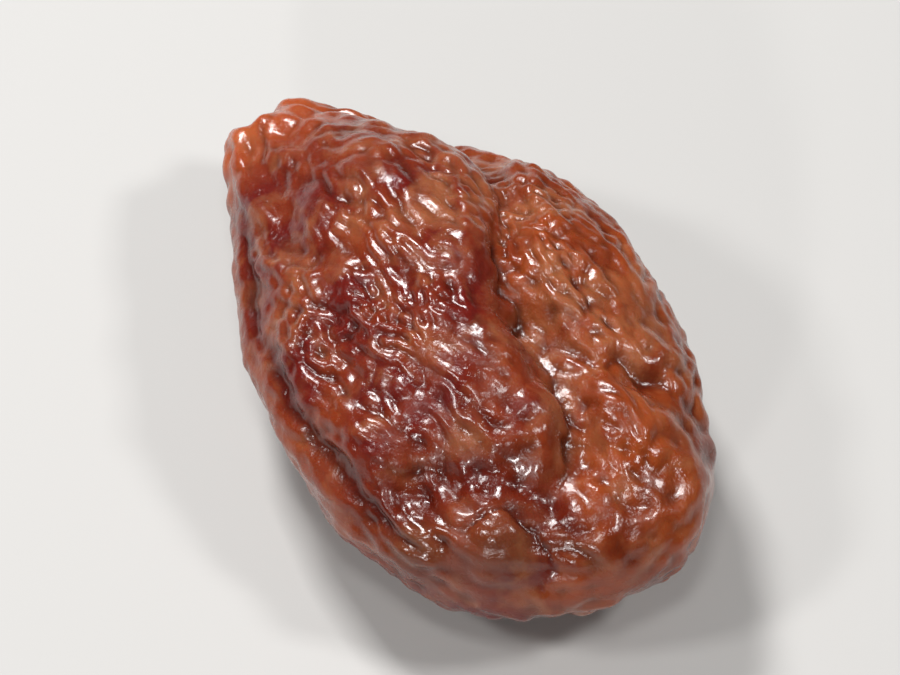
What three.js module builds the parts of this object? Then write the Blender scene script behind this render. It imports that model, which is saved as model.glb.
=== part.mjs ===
// A dried plum (prune) lying on its side, as one closed solid.
// Millimetres, +Z up. The stem end points to -X, the blossom end to +X. The suture, the groove that
// every plum has from stem to blossom end, runs over the top between a large lobe on the -Y side and
// a smaller one on the +Y side. The origin is at the centre of the bounding box's underside.
import * as THREE from "three";
import { ImprovedNoise } from "three/addons/math/ImprovedNoise.js";
import { mergeVertices } from "three/addons/utils/BufferGeometryUtils.js";

// The body.
const CROWN = 8.4; // the top's height over the rim
const BELLY = 8.2; // the underside's depth below the rim, before it is pressed flat
const FULLNESS = 0.92; // below 1 the dome is fuller than an ellipsoid
const FLAT_CUT = 0.55; // how much of the underside is pressed flat where it rests
const TAPER = { amount: 0.42, start: -5, end: -22 }; // how the fruit thins towards the stem end
const RIM_WAVE = 0.6; // the rim's rise and fall
const EDGE_SPLITS = 23; // cuts along each edge of the icosahedron that the surface starts from

// The outline seen from above: its radius every 30 degrees, counted from the blossom end.
const OUTLINE = [21.2, 15.8, 12.2, 11.8, 12.8, 14.8, 21.2, 15.2, 13.6, 13.8, 16.6, 20.4];

// Grooves in the top, each a line of plan points with a depth and a half width. The first is the
// suture, and the second leaves it towards the small lobe.
const GROOVES = [
  {
    path: [
      [-19, 2.4], [-14, 6], [-9, 7.6], [-4.4, 6.2], [-0.6, 3.4],
      [3, 0.8], [8, -0.9], [12.4, -1.4], [17, -7],
    ],
    depth: 1.6,
    width: 1.6,
  },
  { path: [[3, 0.8], [7.4, 0.8], [10.8, 2.2], [14.4, 5.2]], depth: 1.2, width: 1.4 },
  { path: [[-17, -2.2], [-11, -5.4], [-4, -8.2], [3, -10.4]], depth: 0.8, width: 1.3 },
  { path: [[-15, -0.6], [-9, -2.6], [-3, -5], [2, -7.2]], depth: 0.6, width: 1.3 },
  { path: [[-15, 2.6], [-9, 3.4], [-5, 1.8], [-1, -0.6]], depth: 0.6, width: 1.3 },
  { path: [[8, -13.4], [9.6, -10.8], [11.2, -8.6], [14, -6.4], [17, -6]], depth: 1.1, width: 1.5 },
];
const GROOVE_STEPS = 48; // points along each groove's line
const GROOVE_FADE = 0.15; // the share of a groove's length over which each end runs out

// The large lobe stands higher than the small one where they meet at the suture.
const LOBE_STEP = 0.9;
const LOBE_STEP_REACH = 5;

// Soft swellings (positive) and dents (negative) of the top: plan centre, radius, height.
const SWELLINGS = [
  { at: [-4, -4], radius: 7, height: 0.6 },
  { at: [2.5, 8], radius: 4.4, height: 0.9 },
  { at: [10.4, -9.4], radius: 2.4, height: -0.6 },
  { at: [5, -12.4], radius: 2.0, height: 0.5 },
  { at: [13, 1.6], radius: 2.4, height: 0.6 },
  { at: [8.6, 5.2], radius: 2.2, height: -0.6 },
  { at: [-11.5, 0.4], radius: 3.6, height: 0.5 },
];

// Rounded lobes on the shoulder at the blossom end, raised along the surface's normal.
const LOBES = [
  { at: new THREE.Vector3(11.3, -13.5, 2.6), radius: 2.1, height: 0.9 },
  { at: new THREE.Vector3(15.2, -9.9, 3.8), radius: 2.2, height: 1.1 },
  { at: new THREE.Vector3(19.6, -5.4, 3.2), radius: 1.9, height: 0.8 },
];

// The stem scar: a small pit inside a raised collar, with pleats gathered round it.
const SCAR_CENTRE = new THREE.Vector3(-21, 0, 1.2);
const PIT = { depth: 1.2, radius: 1.3 };
const COLLAR = { height: 0.6, radius: 2.2, width: 1.0 };
const PLEATS = { count: 9, depth: 0.45, reach: 7 };

// Broad folds of the dried skin, longer from stem to blossom end than across, and lumps under them.
const FOLDS = { height: 0.42, length: 9, spacing: 3.6, warp: 2.4, warpSize: 7 };
const LUMPS = { height: 0.36, size: 5.5 };

const noise = new ImprovedNoise();
const bell = (distance, width) => Math.exp(-((distance / width) ** 2));
const ramp = (x) => THREE.MathUtils.smoothstep(x, 0, 1);

// The outline's radius at an angle: a cubic through the listed radii, closed on itself.
function outlineRadius(angle) {
  const count = OUTLINE.length;
  const turn = ((angle / (2 * Math.PI)) * count + count) % count;
  const start = Math.floor(turn);
  const t = turn - start;
  const [a, b, c, d] = [-1, 0, 1, 2].map((k) => OUTLINE[(start + k + count) % count]);
  return b + 0.5 * t * (c - a + t * (2 * a - 5 * b + 4 * c - d + t * (3 * (b - c) + d - a)));
}

const grooveLines = GROOVES.map(({ path }) => {
  const curve = new THREE.CatmullRomCurve3(path.map(([x, y]) => new THREE.Vector3(x, y, 0)));
  return curve.getSpacedPoints(GROOVE_STEPS);
});

// The nearest place on a groove: its distance, its share of the groove's length, and which side the
// point is on (positive is the -Y side).
function nearestOnGroove(line, x, y) {
  let found = { distance: Infinity, along: 0, side: 0 };
  for (let i = 0; i < GROOVE_STEPS; i++) {
    const a = line[i];
    const dx = line[i + 1].x - a.x;
    const dy = line[i + 1].y - a.y;
    const t = THREE.MathUtils.clamp(((x - a.x) * dx + (y - a.y) * dy) / (dx * dx + dy * dy), 0, 1);
    const offX = x - a.x - t * dx;
    const offY = y - a.y - t * dy;
    const distance = Math.hypot(offX, offY);
    if (distance < found.distance) {
      found = { distance, along: (i + t) / GROOVE_STEPS, side: dy * offX - dx * offY };
    }
  }
  return found;
}

// Height of the top over the smooth dome at a plan position.
function relief(x, y) {
  let z = 0;
  GROOVES.forEach(({ depth, width }, index) => {
    const { distance, along, side } = nearestOnGroove(grooveLines[index], x, y);
    const fade = ramp(along / GROOVE_FADE) * ramp((1 - along) / GROOVE_FADE);
    z -= depth * fade * bell(distance, width);
    if (index === 0 && side > 0) {
      z += LOBE_STEP * fade * (1 - bell(distance, width)) * bell(distance, LOBE_STEP_REACH);
    }
  });
  for (const { at, radius, height } of SWELLINGS) {
    z += height * bell(Math.hypot(x - at[0], y - at[1]), radius);
  }
  return z;
}

// Spreads the sphere's polar angle so that the flattened fruit gets triangles of even size.
function spread(polar) {
  return polar - 0.2325 * Math.sin(2 * polar) + 0.0688 * Math.sin(4 * polar);
}

// A point of the unit sphere carried to the flattened, egg-shaped fruit.
function bodyPoint(n) {
  const polar = spread(Math.acos(Math.min(1, Math.abs(n.z))));
  const angle = Math.atan2(n.y, n.x);
  const reach = Math.sin(polar);
  const rise = Math.cos(polar) ** FULLNESS;
  const x = reach * outlineRadius(angle) * Math.cos(angle);
  const y = reach * outlineRadius(angle) * Math.sin(angle);
  const thickness = 1 - TAPER.amount * ramp((x - TAPER.start) / (TAPER.end - TAPER.start));
  const rim = RIM_WAVE * Math.sin(2 * angle + 0.6) * reach ** 2;
  if (n.z < 0) return new THREE.Vector3(x, y, rim - BELLY * rise * thickness);
  const reliefShare = ramp(2 * rise);
  return new THREE.Vector3(x, y, rim + CROWN * rise * thickness + relief(x, y) * reliefShare);
}

// Height of the skin's folds and lumps, along the surface's normal.
function folds({ x, y, z }) {
  const { height, length, spacing, warp, warpSize } = FOLDS;
  const shift = warp * noise.noise(x / warpSize + 3, y / warpSize, z / warpSize);
  const valley = Math.abs(noise.noise(x / length, (y + shift) / spacing, (z + shift) / spacing));
  const lump = noise.noise(x / LUMPS.size + 9, y / LUMPS.size, z / LUMPS.size + 4);
  return height * (0.4 - 2 * valley) + LUMPS.height * lump;
}

// Height of the shoulder's lobes, along the surface's normal.
function lobes(p) {
  return LOBES.reduce((sum, { at, radius, height }) => sum + height * bell(p.distanceTo(at), radius), 0);
}

// Height of the pleats and the scar where the stem was, along the surface's normal.
function stemEnd(p) {
  const from = p.clone().sub(SCAR_CENTRE);
  const distance = from.length();
  const around = Math.atan2(from.z, from.y);
  const pleat = Math.cos(PLEATS.count * around + 1.5 * Math.sin(2 * around));
  const outsideScar = ramp((distance - 1) / 3);
  const pleats = PLEATS.depth * pleat * outsideScar * bell(distance, PLEATS.reach);
  const collar = COLLAR.height * bell(distance - COLLAR.radius, COLLAR.width);
  return pleats + collar - PIT.depth * bell(distance, PIT.radius);
}

function pruneGeometry() {
  const ball = new THREE.IcosahedronGeometry(1, EDGE_SPLITS);
  ball.deleteAttribute("normal");
  ball.deleteAttribute("uv");
  const geometry = mergeVertices(ball, 1e-5);
  const position = geometry.getAttribute("position");
  const points = Array.from({ length: position.count }, (_, i) =>
    bodyPoint(new THREE.Vector3().fromBufferAttribute(position, i).normalize()),
  );
  geometry.setFromPoints(points);
  geometry.computeVertexNormals();
  const normal = new THREE.Vector3();
  points.forEach((p, i) => {
    normal.fromBufferAttribute(geometry.getAttribute("normal"), i);
    p.addScaledVector(normal, folds(p) + lobes(p) + stemEnd(p));
  });
  const restHeight = Math.min(...points.map((p) => p.z)) + FLAT_CUT;
  points.forEach((p) => {
    p.z = Math.max(p.z, restHeight);
  });
  geometry.setFromPoints(points);
  geometry.computeBoundingBox();
  const { min, max } = geometry.boundingBox;
  geometry.translate(-(min.x + max.x) / 2, -(min.y + max.y) / 2, -min.z);
  geometry.computeVertexNormals();
  return geometry;
}

const prune = new THREE.Mesh(
  pruneGeometry(),
  new THREE.MeshStandardMaterial({ color: 0x6b2a18, roughness: 0.38, metalness: 0 }),
);
prune.name = "prune";

const group = new THREE.Group();
group.add(prune);

export default group;
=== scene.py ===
"""A prune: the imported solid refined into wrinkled, glossy, slightly translucent skin."""
import math

import bpy
import numpy as np
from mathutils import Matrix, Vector


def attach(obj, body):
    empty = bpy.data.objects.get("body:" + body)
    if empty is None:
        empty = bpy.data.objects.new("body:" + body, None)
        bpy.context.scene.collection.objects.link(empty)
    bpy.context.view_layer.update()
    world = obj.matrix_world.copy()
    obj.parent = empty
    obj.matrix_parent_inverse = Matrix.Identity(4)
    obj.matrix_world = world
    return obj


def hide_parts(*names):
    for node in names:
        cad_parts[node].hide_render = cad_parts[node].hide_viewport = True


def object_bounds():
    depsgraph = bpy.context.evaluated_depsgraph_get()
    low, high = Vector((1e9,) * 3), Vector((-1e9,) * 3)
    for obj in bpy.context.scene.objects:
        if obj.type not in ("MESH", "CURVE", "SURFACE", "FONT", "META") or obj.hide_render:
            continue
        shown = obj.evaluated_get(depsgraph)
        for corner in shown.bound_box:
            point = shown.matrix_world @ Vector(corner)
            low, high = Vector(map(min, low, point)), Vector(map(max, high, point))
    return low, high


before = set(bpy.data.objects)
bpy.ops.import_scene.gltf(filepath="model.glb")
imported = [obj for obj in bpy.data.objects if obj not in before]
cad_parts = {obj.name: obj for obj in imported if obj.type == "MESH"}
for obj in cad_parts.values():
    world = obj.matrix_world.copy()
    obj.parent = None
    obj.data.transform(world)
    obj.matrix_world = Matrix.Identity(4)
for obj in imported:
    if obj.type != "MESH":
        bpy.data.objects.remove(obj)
cad_low, cad_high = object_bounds()

MM = 0.001
SEED = 11

# The camera looks down on the prune from the large lobe's side of the blossom end.
VIEW_AZIMUTH = 50.6
VIEW_ELEVATION = 55.0
LENS = 225.0
SENSOR = 36.0
CAMERA_DISTANCE = 0.35

# Lights: name, azimuth counted from the camera's, elevation, size in metres, power in watts.
LIGHTS = [
    ("key", -150, 55, 0.08, 1.15),
    ("left", -70, 48, 0.05, 0.36),
    ("right", 80, 52, 0.05, 0.44),
    ("front", -5, 70, 0.05, 0.24),
    ("low", -16, 24, 0.03, 0.30),
]
LIGHT_DISTANCE = 0.35
FLOOR_REACH = 0.6

# Three scales of wrinkles. Each grows from a random field with a wavelength in millimetres, squeezed
# along X so that its waves are longer from end to end. reach is how much further the averaging goes
# along the fruit than across it, and near and far are the passes that bound the scale.
FOLDS = {"wavelength": 4.4, "squeeze": 0.5, "seed": 1, "reach": 6.0, "near": 8, "far": 22, "rounds": 10}
MIDDLE = {"wavelength": 1.25, "squeeze": 0.4, "seed": 2, "reach": 10.0, "near": 3, "far": 9, "rounds": 10}
FINE = {"wavelength": 0.75, "squeeze": 0.45, "seed": 3, "reach": 4.0, "near": 2, "far": 5, "rounds": 5}
CONTRAST = 1.6  # how hard each round drives ridges and valleys apart
ROUNDNESS = 0.65  # below 1 the ridges are rounder than the valleys
MEAN_WRINKLE = 0.6  # about the wrinkles' mean, taken off so that the fruit keeps its size

# Heights of the wrinkles in millimetres: everywhere, and added in patches of a wavelength.
FOLD_HEIGHT = 0.26
MIDDLE_HEIGHT = 0.10
MIDDLE_PATCHES = {"height": 0.12, "wavelength": 9.0, "seed": 4, "contrast": 0.5}
FINE_HEIGHT = 0.07
FINE_PATCHES = {"height": 0.08, "wavelength": 6.0, "seed": 5, "contrast": 0.6}

# Creases over the top in plan, in millimetres: the suture in the bottom of its groove, the branch
# that leaves it, and the crease around the middle lobe of the shoulder. fades are the shares of the
# length over which a crease runs out at its start and its end.
SUTURE = {
    "path": [
        (-19.1, 3.7), (-14.1, 7.3), (-9.1, 8.9), (-4.5, 7.5), (-0.7, 4.7),
        (2.9, 2.1), (7.9, 0.4), (12.3, -0.1), (16.9, -5.7),
    ],
    "depth": 0.32,
    "width": 0.3,
    "fades": (0.12, 0.15),
}
BRANCH = {
    "path": [(2.9, 2.1), (7.3, 2.1), (10.7, 3.5), (14.3, 6.5)],
    "depth": 0.24,
    "width": 0.35,
    "fades": (0.1, 0.3),
}
LOBE_CREASE = {
    "path": [(13.0, -10.4), (13.4, -8.6), (14.3, -7.1), (15.9, -6.4), (17.4, -6.7), (18.4, -7.8)],
    "depth": 0.40,
    "width": 0.3,
    "fades": (0.25, 0.25),
}
WANDER = {"reach": 0.25, "wavelength": 2.6, "seeds": (6, 7, 8)}

# The large lobe swells beside the suture.
SUTURE_SWELL = {"height": 0.3, "from_suture": 1.3, "width": 1.0}

# The lip along the large lobe's outer edge, and the groove above it.
LIP_HEIGHT = 0.32
LIP_GROOVE_DEPTH = 0.38

# The hollow above the shoulder's three lobes, in plan. It is painted deep red: partly the skin's own red,
# partly painted shade in the dent.
HOLLOW = [(8.2, -12.2), (9.5, -9.5), (11.1, -7.3), (13.9, -5.0), (16.6, -4.8)]
HOLLOW_WIDTH = 1.4

# Places on the skin, in millimetres.
STEM_TIP = (-21.4, 1.3, 8.9)
BLOSSOM_TIP = (21.2, 1.3, 8.0)
WINE_CENTRE = (-7.0, -6.0, 12.0)
PALE_CENTRES = [(-4.5, 3.8, 15.5), (8.5, 6.0, 12.5)]
# The two shoulder lobes, painted dark olive-brown: partly the skin's tone, partly a painted dark
# reflection.
LOBE_CENTRES = [(11.3, -12.2, 10.2), (15.2, -8.6, 11.5)]
TAUT_CENTRES = [(4.1, -3.9, 16.2), (-6.7, -3.8, 14.8), (-1.2, -1.9, 16.7)]
TAUT_DEPTH = 0.2
VALLEY_SHADE_DEPTH = 0.25  # how far below its surroundings the skin must lie to be painted fully dark, as painted shade in the valleys
REST_HEIGHT = 0.8  # below this the wrinkles fade, where the prune rests

# Colours of the skin, linear.
MAROON = (0.120, 0.008, 0.005)
BROWN = (0.20, 0.030, 0.008)
RUSSET = (0.16, 0.022, 0.005)
AMBER = (0.27, 0.050, 0.010)
RUST = (0.50, 0.108, 0.032)
TAN = (0.32, 0.110, 0.044)
# Dark olive-brown. It is the stem scar's own colour; on the shoulder lobes it is partly a painted dark
# reflection.
BARK = (0.12, 0.036, 0.014)
# Deep red of the hollow: partly the skin's own red, partly painted shade.
HOLLOW_RED_AND_SHADE = (0.090, 0.005, 0.001)
# Painted shade: the near-black that is laid into the wrinkles' valleys.
VALLEY_SHADE = (0.050, 0.004, 0.002)


# ---------------------------------------------------------------- mesh tools

def welded(mesh):
    """The node's vertices in millimetres and its triangles, in an order set by the shape alone."""
    co = np.zeros(len(mesh.vertices) * 3, np.float32)
    mesh.vertices.foreach_get("co", co)
    mesh.calc_loop_triangles()
    tri = np.zeros(len(mesh.loop_triangles) * 3, np.int32)
    mesh.loop_triangles.foreach_get("vertices", tri)
    rounded = np.round(co.reshape(-1, 3).astype(float) / MM, 3)
    points, where = np.unique(rounded, axis=0, return_inverse=True)
    faces = where.reshape(-1)[tri.reshape(-1, 3)]
    first = faces.argmin(axis=1)
    faces = np.take_along_axis(faces, (first[:, None] + np.arange(3)) % 3, axis=1)
    return points, faces[np.lexsort(faces.T[::-1])]


def edges_of(faces):
    """The mesh's edges, and for each face the edge opposite each corner."""
    pairs = np.sort(faces[:, [[1, 2], [2, 0], [0, 1]]].reshape(-1, 2), axis=1)
    edges, index = np.unique(pairs, axis=0, return_inverse=True)
    return edges, index.reshape(-1, 3)


def loop_step(values, faces):
    """One step of Loop subdivision with its usual weights, for any values held at the vertices."""
    count = len(values)
    edges, face_edges = edges_of(faces)
    ends = values[edges[:, 0]] + values[edges[:, 1]]
    wings = np.zeros_like(ends)
    for corner in range(3):
        np.add.at(wings, face_edges[:, corner], values[faces[:, corner]])
    middles = 0.375 * ends + 0.125 * wings
    around = np.zeros_like(values)
    np.add.at(around, edges[:, 0], values[edges[:, 1]])
    np.add.at(around, edges[:, 1], values[edges[:, 0]])
    valence = np.bincount(edges.ravel(), minlength=count)[:, None]
    beta = 0.375 / valence
    kept = (1 - valence * beta) * values + beta * around
    a, b, c = faces.T
    ea, eb, ec = (face_edges + count).T
    quarters = [(a, ec, eb), (b, ea, ec), (c, eb, ea), (ea, eb, ec)]
    finer = np.concatenate([np.stack(corners, axis=1) for corners in quarters])
    return np.concatenate([kept, middles]), finer


def vertex_normals(points, faces):
    """Unit normals at the vertices, each face counted by its area."""
    a, b, c = (points[faces[:, k]] for k in range(3))
    area = np.cross(b - a, c - a)
    total = np.zeros_like(points)
    for corner in range(3):
        np.add.at(total, faces[:, corner], area)
    return total / np.linalg.norm(total, axis=1, keepdims=True)


class Surface:
    """A closed triangle mesh whose vertices can be averaged with their neighbours."""

    def __init__(self, points, faces):
        self.points = points
        self.faces = faces
        self.normals = vertex_normals(points, faces)
        edges, _ = edges_of(faces)
        ends = np.concatenate([edges, edges[:, ::-1]])
        ends = ends[np.argsort(ends[:, 0], kind="stable")]
        valence = np.bincount(ends[:, 0], minlength=len(points))
        slot = np.arange(len(ends)) - np.repeat(np.cumsum(valence) - valence, valence)
        self.near = np.repeat(np.arange(len(points))[:, None], valence.max(), axis=1)
        self.near[ends[:, 0], slot] = ends[:, 1]
        self.real = np.arange(valence.max())[None, :] < valence[:, None]
        self.step = points[self.near] - points[:, None]
        self.length2 = np.where(self.real, (self.step ** 2).sum(axis=2), 1.0)
        self.even = self.weights()

    def weights(self, along=None, stretch=0.0):
        """Averaging weights that sum to 1. Along a direction field they reach further."""
        weight = self.real / self.length2
        if along is not None:
            cosine2 = (self.step * along[:, None]).sum(axis=2) ** 2 / self.length2
            weight = weight * (1 + stretch * cosine2 ** 2)
        return weight / weight.sum(axis=1, keepdims=True)

    def averaged(self, field, weight, passes):
        """A field after each vertex has taken its neighbours' weighted mean, a number of times."""
        for _ in range(passes):
            field = (field[self.near] * weight).sum(axis=1)
        return field


# ---------------------------------------------------------------- patterns

def waves(points, wavelength, seed, count=48):
    """A smooth random field with one wavelength, from plane waves in all directions."""
    rng = np.random.default_rng(SEED * 1000 + seed)
    direction = rng.normal(size=(count, 3))
    direction /= np.linalg.norm(direction, axis=1, keepdims=True)
    length = wavelength * rng.uniform(0.8, 1.25, size=count)
    phase = rng.uniform(0, 2 * math.pi, size=count)
    field = np.zeros(len(points))
    for d, w, p in zip(direction, length, phase):
        field += np.cos(points @ d * (2 * math.pi / w) + p)
    return field / math.sqrt(count / 2)


def ramp(x):
    """A smooth step from 0 to 1 as x goes from 0 to 1."""
    x = np.clip(x, 0, 1)
    return x * x * (3 - 2 * x)


def bell(distance, width):
    return np.exp(-(distance / width) ** 2)


def patches(points, kind):
    """Shares from 0 to 1 in soft patches."""
    return ramp(0.5 + kind["contrast"] * waves(points, kind["wavelength"], kind["seed"], 24))


def wrinkles(surface, lines, scale):
    """Buckled skin: a random field, sharpened again and again at one scale, until it joins up into
    long ridges along the lines. Returns heights from 0 to 1, with round ridges and sharp valleys."""
    even = surface.even
    weight = surface.weights(lines, scale["reach"])
    near = scale["near"] - 1
    beyond = scale["far"] - scale["near"] - 1
    field = waves(surface.points * (scale["squeeze"], 1, 1), scale["wavelength"], scale["seed"])
    for _ in range(scale["rounds"]):
        fine = surface.averaged(surface.averaged(field, even, 1), weight, near)
        broad = surface.averaged(surface.averaged(fine, even, 1), weight, beyond)
        band = fine - broad
        field = np.tanh(CONTRAST * band / band.std())
    field = surface.averaged(surface.averaged(field, even, 1), weight, near)
    field = surface.averaged(field, even, 1)
    field = field / np.abs(field).max()
    local = np.sqrt(surface.averaged(field ** 2, even, 3 * scale["far"])) + 1e-3
    field = np.clip(field / (1.5 * local), -1, 1)
    return ((1 + field) / 2) ** ROUNDNESS


def smooth_path(path, times=3):
    """Cuts a line's corners until it is smooth, keeping its ends."""
    path = np.array(path, float)
    for _ in range(times):
        q = 0.75 * path[:-1] + 0.25 * path[1:]
        r = 0.25 * path[:-1] + 0.75 * path[1:]
        path = np.concatenate([path[:1], np.stack([q, r], axis=1).reshape(-1, 2), path[-1:]])
    return path


def line_distance(points, path):
    """Distance in plan from a smoothed line, signed (positive on its right), and the share of its
    length."""
    path = smooth_path(path)
    best = np.full(len(points), np.inf)
    signed = np.zeros(len(points))
    along = np.zeros(len(points))
    total = np.linalg.norm(np.diff(path, axis=0), axis=1)
    passed = np.concatenate([[0], np.cumsum(total)])
    for k, (a, b) in enumerate(zip(path[:-1], path[1:])):
        t = np.clip((points[:, :2] - a) @ (b - a) / total[k] ** 2, 0, 1)
        off = points[:, :2] - a - t[:, None] * (b - a)
        distance = np.linalg.norm(off, axis=1)
        side = np.sign((b - a)[1] * off[:, 0] - (b - a)[0] * off[:, 1])
        closer = distance < best
        best = np.where(closer, distance, best)
        signed = np.where(closer, distance * side, signed)
        along = np.where(closer, (passed[k] + t * total[k]) / passed[-1], along)
    return signed, along


def distance_to(points, place):
    return np.linalg.norm(points - np.array(place), axis=1)


def near_any(points, places, width):
    """A bell around each of several places."""
    return np.max([bell(distance_to(points, place), width) for place in places], axis=0)


# ---------------------------------------------------------------- skin

def end_to_end(points, normals):
    """The direction of the lines that run over the skin from the stem end to the blossom end."""
    from_stem = points - np.array(STEM_TIP)
    to_blossom = np.array(BLOSSOM_TIP) - points
    pull = from_stem / (np.linalg.norm(from_stem, axis=1, keepdims=True) ** 3 + 8)
    pull += to_blossom / (np.linalg.norm(to_blossom, axis=1, keepdims=True) ** 3 + 8)
    pull -= (pull * normals).sum(axis=1, keepdims=True) * normals
    return pull / (np.linalg.norm(pull, axis=1, keepdims=True) + 1e-9)


def skin_surface():
    """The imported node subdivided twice, and the height of the broad folds at its vertices."""
    points, faces = welded(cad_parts["prune"].data)
    points, faces = loop_step(points, faces)
    coarse = Surface(points, faces)
    folds = wrinkles(coarse, end_to_end(points, coarse.normals), FOLDS)
    values, faces = loop_step(np.column_stack([points, folds]), faces)
    return Surface(values[:, :3], faces), values[:, 3]


def crease(points, top, line):
    """Signed distance from a crease, how strongly it shows at each point, and how deep it cuts."""
    signed, along = line_distance(points, line["path"])
    start, end = line["fades"]
    fade = top * ramp(along / start) * ramp((1 - along) / end)
    return signed, fade, line["depth"] * fade * np.exp(-np.abs(signed) / line["width"])


def wrinkled_skin():
    """The moved vertices, the faces, and the values that the material reads at the vertices."""
    surface, folds = skin_surface()
    points = surface.points
    up = surface.normals[:, 2]
    lines = end_to_end(points, surface.normals)
    middle = wrinkles(surface, lines, MIDDLE)
    fine = wrinkles(surface, lines, FINE)

    top = ramp(up / 0.3)
    side = ramp(1 - np.abs(up) / 0.6)
    smooth_up = surface.averaged(up, surface.even, 40)
    wander = [waves(points, WANDER["wavelength"], seed) for seed in WANDER["seeds"]]
    warped = points + WANDER["reach"] * np.column_stack(wander)
    suture, suture_fade, suture_cut = crease(warped, top, SUTURE)
    branch_cut = crease(warped, top, BRANCH)[2]
    lobe_cut = crease(warped, top, LOBE_CREASE)[2]
    hollow = line_distance(warped, HOLLOW)[0]
    swell = bell(suture - SUTURE_SWELL["from_suture"], SUTURE_SWELL["width"])

    # The stretch of the large lobe's outer edge that has a lip, and the lip by how steep the skin is.
    edge = ramp((-points[:, 1] - 3) / 4) * ramp((points[:, 0] + 17) / 5) * ramp((13 - points[:, 0]) / 6)
    lip = edge * bell(smooth_up - 0.05, 0.25)
    taut = near_any(points, TAUT_CENTRES, 1.5)
    share = (1 + 0.1 * side) * (1 - 0.6 * taut) * (1 - 0.5 * lip)
    middle_height = MIDDLE_HEIGHT + MIDDLE_PATCHES["height"] * patches(points, MIDDLE_PATCHES)
    fine_height = FINE_HEIGHT + FINE_PATCHES["height"] * patches(points, FINE_PATCHES)

    height = FOLD_HEIGHT * (1 - 0.25 * side) * (folds - MEAN_WRINKLE)
    height += share * middle_height * (middle - MEAN_WRINKLE)
    height += share * fine_height * (fine - MEAN_WRINKLE)
    height -= TAUT_DEPTH * taut
    height -= suture_cut
    height += SUTURE_SWELL["height"] * suture_fade * swell
    height += LIP_HEIGHT * lip - LIP_GROOVE_DEPTH * edge * bell(smooth_up - 0.5, 0.14)
    height -= branch_cut
    height -= lobe_cut
    height *= 1 - 0.8 * ramp(1 - points[:, 2] / REST_HEIGHT)

    moved = points + height[:, None] * surface.normals
    moved[:, 2] = np.maximum(moved[:, 2], 0)
    relief = height - surface.averaged(height, surface.even, 60)
    from_stem = distance_to(points, STEM_TIP)
    fields = {
        # Painted shade: the deeper a vertex lies below its surroundings, the darker it is painted.
        "valley_shade": np.clip(-relief / VALLEY_SHADE_DEPTH, 0, 1),
        "lobe": ramp(0.5 - suture / 5.0),
        "stem": ramp(1 - from_stem / 9.0),
        "scar": bell(from_stem, 1.5),
        "wine": bell(distance_to(points, WINE_CENTRE), 8.0),
        "pale": near_any(points, PALE_CENTRES, 5.0),
        # Dark olive-brown on the shoulder lobes: partly the skin's tone, partly a painted dark reflection.
        "lobe_tone_and_reflection": near_any(points, LOBE_CENTRES, 2.6),
        # Deep red along the dent: partly the skin's own red, partly painted shade.
        "hollow": top * bell(hollow, HOLLOW_WIDTH),
        "lip": lip,
    }
    return moved, surface.faces, fields


def new_mesh(name, points, faces, fields):
    """A smooth-shaded mesh from vertices in millimetres, with a value attribute for each field."""
    mesh = bpy.data.meshes.new(name)
    mesh.vertices.add(len(points))
    mesh.vertices.foreach_set("co", (points * MM).ravel())
    mesh.loops.add(faces.size)
    mesh.loops.foreach_set("vertex_index", faces.ravel().astype(np.int32))
    mesh.polygons.add(len(faces))
    mesh.polygons.foreach_set("loop_start", np.arange(0, faces.size, 3, dtype=np.int32))
    mesh.polygons.foreach_set("use_smooth", np.ones(len(faces), bool))
    mesh.update(calc_edges=True)
    for field, values in fields.items():
        attribute = mesh.attributes.new(field, "FLOAT", "POINT")
        attribute.data.foreach_set("value", values.astype(np.float32))
    return mesh


# ---------------------------------------------------------------- material

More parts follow.
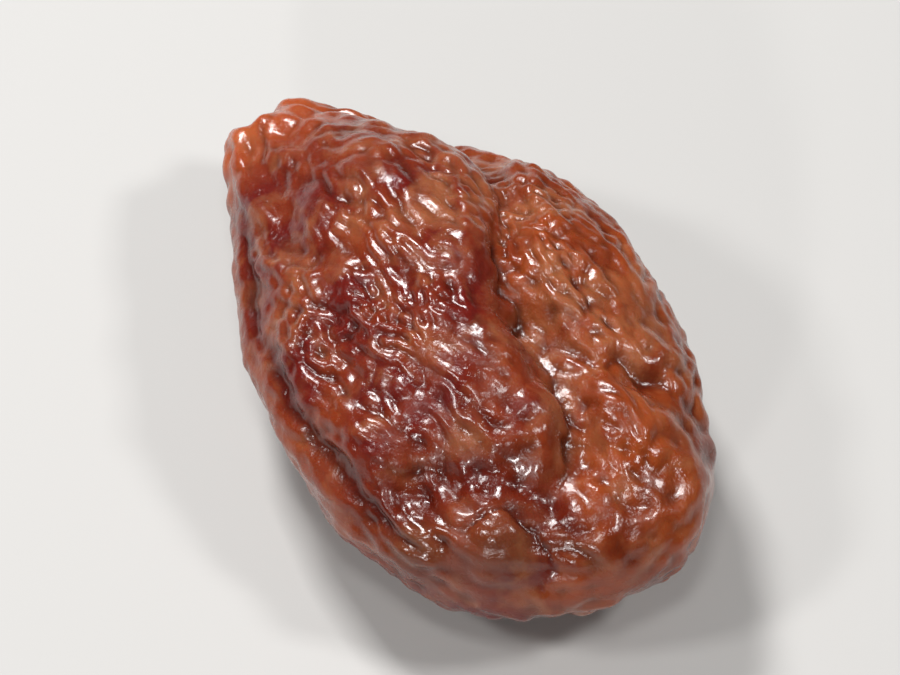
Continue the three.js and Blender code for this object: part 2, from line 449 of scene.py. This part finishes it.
def skin_material():
    """Glossy, slightly translucent skin. Its colours mix by noise and by the vertices' values."""
    material = bpy.data.materials.new("prune_skin")
    material.use_nodes = True
    tree = material.node_tree
    tree.nodes.clear()
    output = tree.nodes.new("ShaderNodeOutputMaterial")
    shader = tree.nodes.new("ShaderNodeBsdfPrincipled")
    tree.links.new(shader.outputs["BSDF"], output.inputs["Surface"])
    coordinates = tree.nodes.new("ShaderNodeTexCoord")

    def attribute(name):
        node = tree.nodes.new("ShaderNodeAttribute")
        node.attribute_name = name
        return node.outputs["Fac"]

    def noise(scale, detail, distortion=0.0):
        node = tree.nodes.new("ShaderNodeTexNoise")
        node.inputs["Scale"].default_value = scale
        node.inputs["Detail"].default_value = detail
        node.inputs["Distortion"].default_value = distortion
        tree.links.new(coordinates.outputs["Object"], node.inputs["Vector"])
        return node.outputs["Fac"]

    def spread(value, low, high, out_low=0.0, out_high=1.0):
        node = tree.nodes.new("ShaderNodeMapRange")
        node.inputs["From Min"].default_value = low
        node.inputs["From Max"].default_value = high
        node.inputs["To Min"].default_value = out_low
        node.inputs["To Max"].default_value = out_high
        tree.links.new(value, node.inputs["Value"])
        return node.outputs["Result"]

    def combined(operation, a, b):
        node = tree.nodes.new("ShaderNodeMath")
        node.operation = operation
        for socket, value in zip(node.inputs, (a, b)):
            if isinstance(value, (int, float)):
                socket.default_value = value
            else:
                tree.links.new(value, socket)
        return node.outputs["Value"]

    def scaled(name, amount):
        return combined("MULTIPLY", attribute(name), amount)

    def mixed(factor, a, b):
        node = tree.nodes.new("ShaderNodeMix")
        node.data_type = "RGBA"
        tree.links.new(factor, node.inputs["Factor"])
        # Sockets 6 and 7 are the two colours, and output 2 is the mixed colour.
        for socket, value in ((node.inputs[6], a), (node.inputs[7], b)):
            if isinstance(value, tuple):
                socket.default_value = (*value, 1)
            else:
                tree.links.new(value, socket)
        return node.outputs[2]

    large = mixed(spread(combined("ADD", noise(260, 3), scaled("wine", -0.08)), 0.36, 0.60), MAROON, BROWN)
    small = mixed(spread(noise(230, 3), 0.38, 0.62), RUSSET, AMBER)
    colour = mixed(attribute("lobe"), large, small)
    blotch = combined("ADD", noise(400, 6, 0.6), scaled("pale", 0.14))
    colour = mixed(spread(blotch, 0.50, 0.74, 0, 0.7), colour, TAN)
    overlays = [
        ("lip", 0.6, AMBER),
        # on the shoulder lobes, partly a painted dark reflection
        ("lobe_tone_and_reflection", 0.7, BARK),
        # the hollow's red, partly painted shade
        ("hollow", 0.85, HOLLOW_RED_AND_SHADE),
        ("stem", 0.7, RUST),
        ("scar", 0.7, BARK),
        # painted shade in the valleys
        ("valley_shade", 0.8, VALLEY_SHADE),
    ]
    for name, amount, over in overlays:
        colour = mixed(scaled(name, amount), colour, over)
    tree.links.new(colour, shader.inputs["Base Color"])

    tree.links.new(spread(noise(500, 5), 0.35, 0.7, 0.16, 0.36), shader.inputs["Roughness"])
    shader.inputs["Subsurface Weight"].default_value = 0.35
    shader.inputs["Subsurface Radius"].default_value = (1.0, 0.22, 0.08)
    shader.inputs["Subsurface Scale"].default_value = 0.0012
    shader.inputs["Coat Weight"].default_value = 0.25
    shader.inputs["Coat Roughness"].default_value = 0.09
    shader.inputs["IOR"].default_value = 1.42

    bump = tree.nodes.new("ShaderNodeBump")
    bump.inputs["Strength"].default_value = 0.5
    bump.inputs["Distance"].default_value = 0.00014
    tree.links.new(noise(2600, 4), bump.inputs["Height"])
    tree.links.new(bump.outputs["Normal"], shader.inputs["Normal"])
    return material


# ---------------------------------------------------------------- stage

def floor():
    mesh = bpy.data.meshes.new("floor")
    corners = [(x * FLOOR_REACH, y * FLOOR_REACH, 0) for x, y in ((-1, -1), (1, -1), (1, 1), (-1, 1))]
    mesh.from_pydata(corners, [], [(0, 1, 2, 3)])
    material = bpy.data.materials.new("floor")
    material.use_nodes = True
    shader = material.node_tree.nodes["Principled BSDF"]
    shader.inputs["Base Color"].default_value = (0.50, 0.49, 0.475, 1)
    shader.inputs["Roughness"].default_value = 0.7
    mesh.materials.append(material)
    plane = bpy.data.objects.new("floor", mesh)
    bpy.context.scene.collection.objects.link(plane)


def aim(thing, azimuth, elevation, distance, target):
    """Adds an object to the scene at a distance from the target, facing it. Azimuth 0 is the -Y side."""
    a, e = math.radians(azimuth), math.radians(elevation)
    back = Vector((math.sin(a) * math.cos(e), -math.cos(a) * math.cos(e), math.sin(e)))
    thing.location = target + back * distance
    thing.rotation_euler = (-back).to_track_quat("-Z", "Y").to_euler()
    bpy.context.scene.collection.objects.link(thing)


def soft_light(name, azimuth, elevation, size, power, target):
    light = bpy.data.lights.new(name, "AREA")
    light.size = size
    light.energy = power
    lamp = bpy.data.objects.new(name, light)
    aim(lamp, VIEW_AZIMUTH + azimuth, elevation, LIGHT_DISTANCE, target)


def camera(target):
    data = bpy.data.cameras.new("camera")
    data.lens = LENS
    data.sensor_width = SENSOR
    data.clip_start = 0.01
    eye = bpy.data.objects.new("camera", data)
    aim(eye, VIEW_AZIMUTH, VIEW_ELEVATION, CAMERA_DISTANCE, target)
    bpy.context.scene.camera = eye


def studio():
    """The floor, the lights, the dim surroundings and the camera."""
    centre = (cad_low + cad_high) / 2
    floor()
    for light in LIGHTS:
        soft_light(*light, centre)
    world = bpy.data.worlds.new("studio")
    world.use_nodes = True
    background = world.node_tree.nodes["Background"]
    background.inputs["Color"].default_value = (0.95, 0.97, 1.0, 1)
    background.inputs["Strength"].default_value = 0.06
    bpy.context.scene.world = world
    bpy.context.scene.view_settings.view_transform = "Standard"
    camera(centre)


skin = bpy.data.objects.new("prune_skin", new_mesh("prune_skin", *wrinkled_skin()))
skin.data.materials.append(skin_material())
bpy.context.scene.collection.objects.link(skin)
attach(skin, "root")
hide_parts("prune")
studio()
